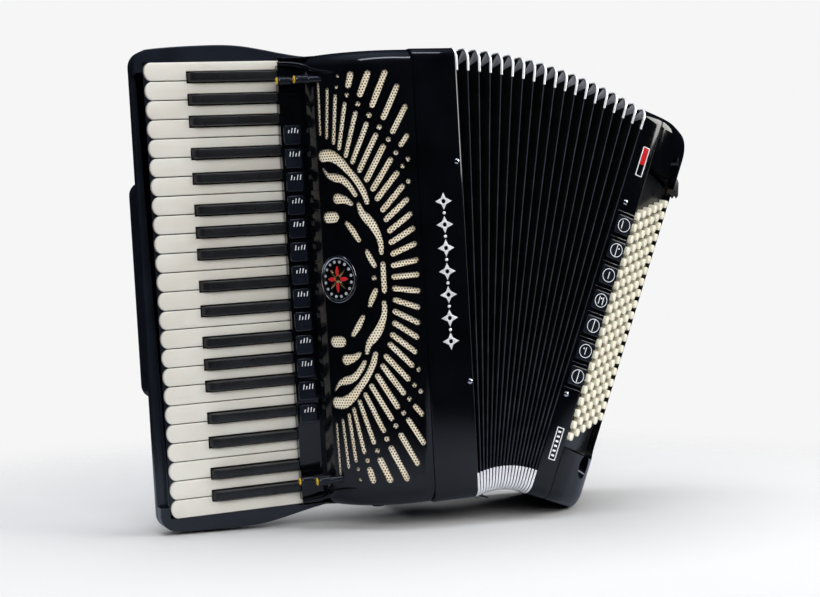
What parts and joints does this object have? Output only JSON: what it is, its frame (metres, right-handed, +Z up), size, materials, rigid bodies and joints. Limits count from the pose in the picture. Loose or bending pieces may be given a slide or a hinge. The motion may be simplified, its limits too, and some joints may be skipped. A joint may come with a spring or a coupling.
{
  "type": "piano accordion",
  "caption": "Piano accordion with a piano keyboard, curved sunburst grille, fanned bellows and a slanted bass button board; keys, buttons, registers and bellows move.",
  "frame": {"origin": "bottom centre of the bounding box of the standing, half-open instrument", "axes": "+X from the keyboard edge to the bass end, +Y from the front of the case to its back, +Z up"},
  "size_m": [0.6416, 0.2134, 0.5083],
  "materials": {
    "gloss_black": "polished black lacquer",
    "satin_black": "satin black",
    "ivory_keys": "polished warm white",
    "black_keys": "satin black",
    "ivory_buttons": "polished ivory",
    "gold_mesh": "perforated, satin pale gold",
    "steel": "brushed",
    "reed_wood": "bare",
    "bellows_cloth": "matt black cloth on card",
    "leather": "black, padded"
  },
  "bodies": {
    "treble": {"treble_case": "gloss_black", "keyboard_bed": "gloss_black", "key_axle": "steel", "grille_cover": "gloss_black", "grille_mesh": "gold_mesh", "treble_reeds": "reed_wood"},
    "bass": {"bass_case": "gloss_black", "bass_end_cover": "gloss_black", "bass_reeds": "reed_wood", "hand_strap": "leather"},
    "air_button": {"air_button": "ivory_buttons"},
    "bass_buttons": {"bass_buttons": "ivory_buttons"},
    "bass_registers": {"bass_registers": "satin_black"},
    "bellows_frame_1": {"bellows_frame_1": "bellows_cloth"},
    "bellows_frame_2": {"bellows_frame_2": "bellows_cloth"},
    "bellows_frame_3": {"bellows_frame_3": "bellows_cloth"},
    "black_key_01_Fsharp": {"black_key_01_Fsharp": "black_keys"},
    "black_key_02_Gsharp": {"black_key_02_Gsharp": "black_keys"},
    "black_key_03_Asharp": {"black_key_03_Asharp": "black_keys"},
    "black_key_04_Csharp": {"black_key_04_Csharp": "black_keys"},
    "black_key_05_Dsharp": {"black_key_05_Dsharp": "black_keys"},
    "black_key_06_Fsharp": {"black_key_06_Fsharp": "black_keys"},
    "black_key_07_Gsharp": {"black_key_07_Gsharp": "black_keys"},
    "black_key_08_Asharp": {"black_key_08_Asharp": "black_keys"},
    "black_key_09_Csharp": {"black_key_09_Csharp": "black_keys"},
    "black_key_10_Dsharp": {"black_key_10_Dsharp": "black_keys"},
    "black_key_11_Fsharp": {"black_key_11_Fsharp": "black_keys"},
    "black_key_12_Gsharp": {"black_key_12_Gsharp": "black_keys"},
    "black_key_13_Asharp": {"black_key_13_Asharp": "black_keys"},
    "black_key_14_Csharp": {"black_key_14_Csharp": "black_keys"},
    "black_key_15_Dsharp": {"black_key_15_Dsharp": "black_keys"},
    "black_key_16_Fsharp": {"black_key_16_Fsharp": "black_keys"},
    "black_key_17_Gsharp": {"black_key_17_Gsharp": "black_keys"},
    "chin_knobs_bottom": {"chin_knobs_bottom": "satin_black"},
    "chin_knobs_top": {"chin_knobs_top": "satin_black"},
    "treble_registers": {"treble_registers": "satin_black"},
    "white_key_01_F": {"white_key_01_F": "ivory_keys"},
    "white_key_02_G": {"white_key_02_G": "ivory_keys"},
    "white_key_03_A": {"white_key_03_A": "ivory_keys"},
    "white_key_04_B": {"white_key_04_B": "ivory_keys"},
    "white_key_05_C": {"white_key_05_C": "ivory_keys"},
    "white_key_06_D": {"white_key_06_D": "ivory_keys"},
    "white_key_07_E": {"white_key_07_E": "ivory_keys"},
    "white_key_08_F": {"white_key_08_F": "ivory_keys"},
    "white_key_09_G": {"white_key_09_G": "ivory_keys"},
    "white_key_10_A": {"white_key_10_A": "ivory_keys"},
    "white_key_11_B": {"white_key_11_B": "ivory_keys"},
    "white_key_12_C": {"white_key_12_C": "ivory_keys"},
    "white_key_13_D": {"white_key_13_D": "ivory_keys"},
    "white_key_14_E": {"white_key_14_E": "ivory_keys"},
    "white_key_15_F": {"white_key_15_F": "ivory_keys"},
    "white_key_16_G": {"white_key_16_G": "ivory_keys"},
    "white_key_17_A": {"white_key_17_A": "ivory_keys"},
    "white_key_18_B": {"white_key_18_B": "ivory_keys"},
    "white_key_19_C": {"white_key_19_C": "ivory_keys"},
    "white_key_20_D": {"white_key_20_D": "ivory_keys"},
    "white_key_21_E": {"white_key_21_E": "ivory_keys"},
    "white_key_22_F": {"white_key_22_F": "ivory_keys"},
    "white_key_23_G": {"white_key_23_G": "ivory_keys"},
    "white_key_24_A": {"white_key_24_A": "ivory_keys"}
  },
  "joints": [
    {"name": "bellows_fan", "type": "hinge", "parent": "treble", "child": "bass", "pos_m": [0.05255, -0.10235, 0.03302], "axis": [0, 1, 0], "range_deg": [-22.5, 18]},
    {"name": "bellows_frame_1_fan", "type": "hinge", "parent": "treble", "child": "bellows_frame_1", "pos_m": [0.05255, -0.10235, 0.03302], "axis": [0, 1, 0], "range_deg": [-5.63, 4.51]},
    {"name": "bellows_frame_2_fan", "type": "hinge", "parent": "treble", "child": "bellows_frame_2", "pos_m": [0.05255, -0.10235, 0.03302], "axis": [0, 1, 0], "range_deg": [-11.26, 9.01]},
    {"name": "bellows_frame_3_fan", "type": "hinge", "parent": "treble", "child": "bellows_frame_3", "pos_m": [0.05255, -0.10235, 0.03302], "axis": [0, 1, 0], "range_deg": [-16.89, 13.51]},
    {"name": "treble_register_press", "type": "slide", "parent": "treble", "child": "treble_registers", "axis": [0, 1, 0], "range_m": [0, 0.002], "stiffness_N_per_m": 1500},
    {"name": "chin_knobs_top_press", "type": "slide", "parent": "treble", "child": "chin_knobs_top", "axis": [0.9989, 0, 0.0464], "range_m": [0, 0.003], "stiffness_N_per_m": 800},
    {"name": "chin_knobs_bottom_press", "type": "slide", "parent": "treble", "child": "chin_knobs_bottom", "axis": [0.9989, 0, 0.0464], "range_m": [0, 0.003], "stiffness_N_per_m": 800},
    {"name": "bass_button_press", "type": "slide", "parent": "bass", "child": "bass_buttons", "axis": [-0.6021, 0.7683, 0.2172], "range_m": [0, 0.003], "stiffness_N_per_m": 1500},
    {"name": "bass_register_press", "type": "slide", "parent": "bass", "child": "bass_registers", "axis": [0, 1, 0], "range_m": [0, 0.002], "stiffness_N_per_m": 1500},
    {"name": "air_button_press", "type": "slide", "parent": "bass", "child": "air_button", "axis": [-0.9406, 0, 0.3394], "range_m": [0, 0.0035], "stiffness_N_per_m": 600},
    {"name": "black_key_01_Fsharp_turn", "type": "hinge", "parent": "treble", "child": "black_key_01_Fsharp", "pos_m": [-0.16233, -0.01235, 0.47783], "axis": [0.0464, 0, -0.9989], "range_deg": [0, 2.2], "stiffness_Nm_per_rad": 3},
    {"name": "black_key_02_Gsharp_turn", "type": "hinge", "parent": "treble", "child": "black_key_02_Gsharp", "pos_m": [-0.16126, -0.01235, 0.45475], "axis": [0.0464, 0, -0.9989], "range_deg": [0, 2.2], "stiffness_Nm_per_rad": 3},
    {"name": "black_key_03_Asharp_turn", "type": "hinge", "parent": "treble", "child": "black_key_03_Asharp", "pos_m": [-0.16021, -0.01235, 0.43217], "axis": [0.0464, 0, -0.9989], "range_deg": [0, 2.2], "stiffness_Nm_per_rad": 3},
    {"name": "black_key_04_Csharp_turn", "type": "hinge", "parent": "treble", "child": "black_key_04_Csharp", "pos_m": [-0.15867, -0.01235, 0.39901], "axis": [0.0464, 0, -0.9989], "range_deg": [0, 2.2], "stiffness_Nm_per_rad": 3},
    {"name": "black_key_05_Dsharp_turn", "type": "hinge", "parent": "treble", "child": "black_key_05_Dsharp", "pos_m": [-0.15748, -0.01235, 0.37344], "axis": [0.0464, 0, -0.9989], "range_deg": [0, 2.2], "stiffness_Nm_per_rad": 3},
    {"name": "black_key_06_Fsharp_turn", "type": "hinge", "parent": "treble", "child": "black_key_06_Fsharp", "pos_m": [-0.15596, -0.01235, 0.34077], "axis": [0.0464, 0, -0.9989], "range_deg": [0, 2.2], "stiffness_Nm_per_rad": 3},
    {"name": "black_key_07_Gsharp_turn", "type": "hinge", "parent": "treble", "child": "black_key_07_Gsharp", "pos_m": [-0.15489, -0.01235, 0.3177], "axis": [0.0464, 0, -0.9989], "range_deg": [0, 2.2], "stiffness_Nm_per_rad": 3},
    {"name": "black_key_08_Asharp_turn", "type": "hinge", "parent": "treble", "child": "black_key_08_Asharp", "pos_m": [-0.15384, -0.01235, 0.29512], "axis": [0.0464, 0, -0.9989], "range_deg": [0, 2.2], "stiffness_Nm_per_rad": 3},
    {"name": "black_key_09_Csharp_turn", "type": "hinge", "parent": "treble", "child": "black_key_09_Csharp", "pos_m": [-0.1523, -0.01235, 0.26196], "axis": [0.0464, 0, -0.9989], "range_deg": [0, 2.2], "stiffness_Nm_per_rad": 3},
    {"name": "black_key_10_Dsharp_turn", "type": "hinge", "parent": "treble", "child": "black_key_10_Dsharp", "pos_m": [-0.15111, -0.01235, 0.23639], "axis": [0.0464, 0, -0.9989], "range_deg": [0, 2.2], "stiffness_Nm_per_rad": 3},
    {"name": "black_key_11_Fsharp_turn", "type": "hinge", "parent": "treble", "child": "black_key_11_Fsharp", "pos_m": [-0.14959, -0.01235, 0.20372], "axis": [0.0464, 0, -0.9989], "range_deg": [0, 2.2], "stiffness_Nm_per_rad": 3},
    {"name": "black_key_12_Gsharp_turn", "type": "hinge", "parent": "treble", "child": "black_key_12_Gsharp", "pos_m": [-0.14852, -0.01235, 0.18065], "axis": [0.0464, 0, -0.9989], "range_deg": [0, 2.2], "stiffness_Nm_per_rad": 3},
    {"name": "black_key_13_Asharp_turn", "type": "hinge", "parent": "treble", "child": "black_key_13_Asharp", "pos_m": [-0.14747, -0.01235, 0.15807], "axis": [0.0464, 0, -0.9989], "range_deg": [0, 2.2], "stiffness_Nm_per_rad": 3},
    {"name": "black_key_14_Csharp_turn", "type": "hinge", "parent": "treble", "child": "black_key_14_Csharp", "pos_m": [-0.14593, -0.01235, 0.12491], "axis": [0.0464, 0, -0.9989], "range_deg": [0, 2.2], "stiffness_Nm_per_rad": 3},
    {"name": "black_key_15_Dsharp_turn", "type": "hinge", "parent": "treble", "child": "black_key_15_Dsharp", "pos_m": [-0.14474, -0.01235, 0.09933], "axis": [0.0464, 0, -0.9989], "range_deg": [0, 2.2], "stiffness_Nm_per_rad": 3},
    {"name": "black_key_16_Fsharp_turn", "type": "hinge", "parent": "treble", "child": "black_key_16_Fsharp", "pos_m": [-0.14322, -0.01235, 0.06667], "axis": [0.0464, 0, -0.9989], "range_deg": [0, 2.2], "stiffness_Nm_per_rad": 3},
    {"name": "black_key_17_Gsharp_turn", "type": "hinge", "parent": "treble", "child": "black_key_17_Gsharp", "pos_m": [-0.14215, -0.01235, 0.0436], "axis": [0.0464, 0, -0.9989], "range_deg": [0, 2.2], "stiffness_Nm_per_rad": 3},
    {"name": "white_key_01_F_turn", "type": "hinge", "parent": "treble", "child": "white_key_01_F", "pos_m": [-0.16262, -0.01235, 0.48412], "axis": [0.0464, 0, -0.9989], "range_deg": [0, 1.9], "stiffness_Nm_per_rad": 3},
    {"name": "white_key_02_G_turn", "type": "hinge", "parent": "treble", "child": "white_key_02_G", "pos_m": [-0.16171, -0.01235, 0.46454], "axis": [0.0464, 0, -0.9989], "range_deg": [0, 1.9], "stiffness_Nm_per_rad": 3},
    {"name": "white_key_03_A_turn", "type": "hinge", "parent": "treble", "child": "white_key_03_A", "pos_m": [-0.1608, -0.01235, 0.44496], "axis": [0.0464, 0, -0.9989], "range_deg": [0, 1.9], "stiffness_Nm_per_rad": 3},
    {"name": "white_key_04_B_turn", "type": "hinge", "parent": "treble", "child": "white_key_04_B", "pos_m": [-0.15989, -0.01235, 0.42538], "axis": [0.0464, 0, -0.9989], "range_deg": [0, 1.9], "stiffness_Nm_per_rad": 3},
    {"name": "white_key_05_C_turn", "type": "hinge", "parent": "treble", "child": "white_key_05_C", "pos_m": [-0.15898, -0.01235, 0.4058], "axis": [0.0464, 0, -0.9989], "range_deg": [0, 1.9], "stiffness_Nm_per_rad": 3},
    {"name": "white_key_06_D_turn", "type": "hinge", "parent": "treble", "child": "white_key_06_D", "pos_m": [-0.15807, -0.01235, 0.38622], "axis": [0.0464, 0, -0.9989], "range_deg": [0, 1.9], "stiffness_Nm_per_rad": 3},
    {"name": "white_key_07_E_turn", "type": "hinge", "parent": "treble", "child": "white_key_07_E", "pos_m": [-0.15716, -0.01235, 0.36665], "axis": [0.0464, 0, -0.9989], "range_deg": [0, 1.9], "stiffness_Nm_per_rad": 3},
    {"name": "white_key_08_F_turn", "type": "hinge", "parent": "treble", "child": "white_key_08_F", "pos_m": [-0.15625, -0.01235, 0.34707], "axis": [0.0464, 0, -0.9989], "range_deg": [0, 1.9], "stiffness_Nm_per_rad": 3},
    {"name": "white_key_09_G_turn", "type": "hinge", "parent": "treble", "child": "white_key_09_G", "pos_m": [-0.15534, -0.01235, 0.32749], "axis": [0.0464, 0, -0.9989], "range_deg": [0, 1.9], "stiffness_Nm_per_rad": 3},
    {"name": "white_key_10_A_turn", "type": "hinge", "parent": "treble", "child": "white_key_10_A", "pos_m": [-0.15443, -0.01235, 0.30791], "axis": [0.0464, 0, -0.9989], "range_deg": [0, 1.9], "stiffness_Nm_per_rad": 3},
    {"name": "white_key_11_B_turn", "type": "hinge", "parent": "treble", "child": "white_key_11_B", "pos_m": [-0.15352, -0.01235, 0.28833], "axis": [0.0464, 0, -0.9989], "range_deg": [0, 1.9], "stiffness_Nm_per_rad": 3},
    {"name": "white_key_12_C_turn", "type": "hinge", "parent": "treble", "child": "white_key_12_C", "pos_m": [-0.15261, -0.01235, 0.26875], "axis": [0.0464, 0, -0.9989], "range_deg": [0, 1.9], "stiffness_Nm_per_rad": 3},
    {"name": "white_key_13_D_turn", "type": "hinge", "parent": "treble", "child": "white_key_13_D", "pos_m": [-0.1517, -0.01235, 0.24917], "axis": [0.0464, 0, -0.9989], "range_deg": [0, 1.9], "stiffness_Nm_per_rad": 3},
    {"name": "white_key_14_E_turn", "type": "hinge", "parent": "treble", "child": "white_key_14_E", "pos_m": [-0.15079, -0.01235, 0.22959], "axis": [0.0464, 0, -0.9989], "range_deg": [0, 1.9], "stiffness_Nm_per_rad": 3},
    {"name": "white_key_15_F_turn", "type": "hinge", "parent": "treble", "child": "white_key_15_F", "pos_m": [-0.14988, -0.01235, 0.21002], "axis": [0.0464, 0, -0.9989], "range_deg": [0, 1.9], "stiffness_Nm_per_rad": 3},
    {"name": "white_key_16_G_turn", "type": "hinge", "parent": "treble", "child": "white_key_16_G", "pos_m": [-0.14897, -0.01235, 0.19044], "axis": [0.0464, 0, -0.9989], "range_deg": [0, 1.9], "stiffness_Nm_per_rad": 3},
    {"name": "white_key_17_A_turn", "type": "hinge", "parent": "treble", "child": "white_key_17_A", "pos_m": [-0.14806, -0.01235, 0.17086], "axis": [0.0464, 0, -0.9989], "range_deg": [0, 1.9], "stiffness_Nm_per_rad": 3},
    {"name": "white_key_18_B_turn", "type": "hinge", "parent": "treble", "child": "white_key_18_B", "pos_m": [-0.14715, -0.01235, 0.15128], "axis": [0.0464, 0, -0.9989], "range_deg": [0, 1.9], "stiffness_Nm_per_rad": 3},
    {"name": "white_key_19_C_turn", "type": "hinge", "parent": "treble", "child": "white_key_19_C", "pos_m": [-0.14624, -0.01235, 0.1317], "axis": [0.0464, 0, -0.9989], "range_deg": [0, 1.9], "stiffness_Nm_per_rad": 3},
    {"name": "white_key_20_D_turn", "type": "hinge", "parent": "treble", "child": "white_key_20_D", "pos_m": [-0.14533, -0.01235, 0.11212], "axis": [0.0464, 0, -0.9989], "range_deg": [0, 1.9], "stiffness_Nm_per_rad": 3},
    {"name": "white_key_21_E_turn", "type": "hinge", "parent": "treble", "child": "white_key_21_E", "pos_m": [-0.14442, -0.01235, 0.09254], "axis": [0.0464, 0, -0.9989], "range_deg": [0, 1.9], "stiffness_Nm_per_rad": 3},
    {"name": "white_key_22_F_turn", "type": "hinge", "parent": "treble", "child": "white_key_22_F", "pos_m": [-0.14351, -0.01235, 0.07296], "axis": [0.0464, 0, -0.9989], "range_deg": [0, 1.9], "stiffness_Nm_per_rad": 3},
    {"name": "white_key_23_G_turn", "type": "hinge", "parent": "treble", "child": "white_key_23_G", "pos_m": [-0.1426, -0.01235, 0.05338], "axis": [0.0464, 0, -0.9989], "range_deg": [0, 1.9], "stiffness_Nm_per_rad": 3},
    {"name": "white_key_24_A_turn", "type": "hinge", "parent": "treble", "child": "white_key_24_A", "pos_m": [-0.14169, -0.01235, 0.03381], "axis": [0.0464, 0, -0.9989], "range_deg": [0, 1.9], "stiffness_Nm_per_rad": 3}
  ],
  "couplings": [
    {"joint": "bellows_frame_1_fan", "follows": "bellows_fan", "ratio": 0.25},
    {"joint": "bellows_frame_2_fan", "follows": "bellows_fan", "ratio": 0.5},
    {"joint": "bellows_frame_3_fan", "follows": "bellows_fan", "ratio": 0.75}
  ]
}
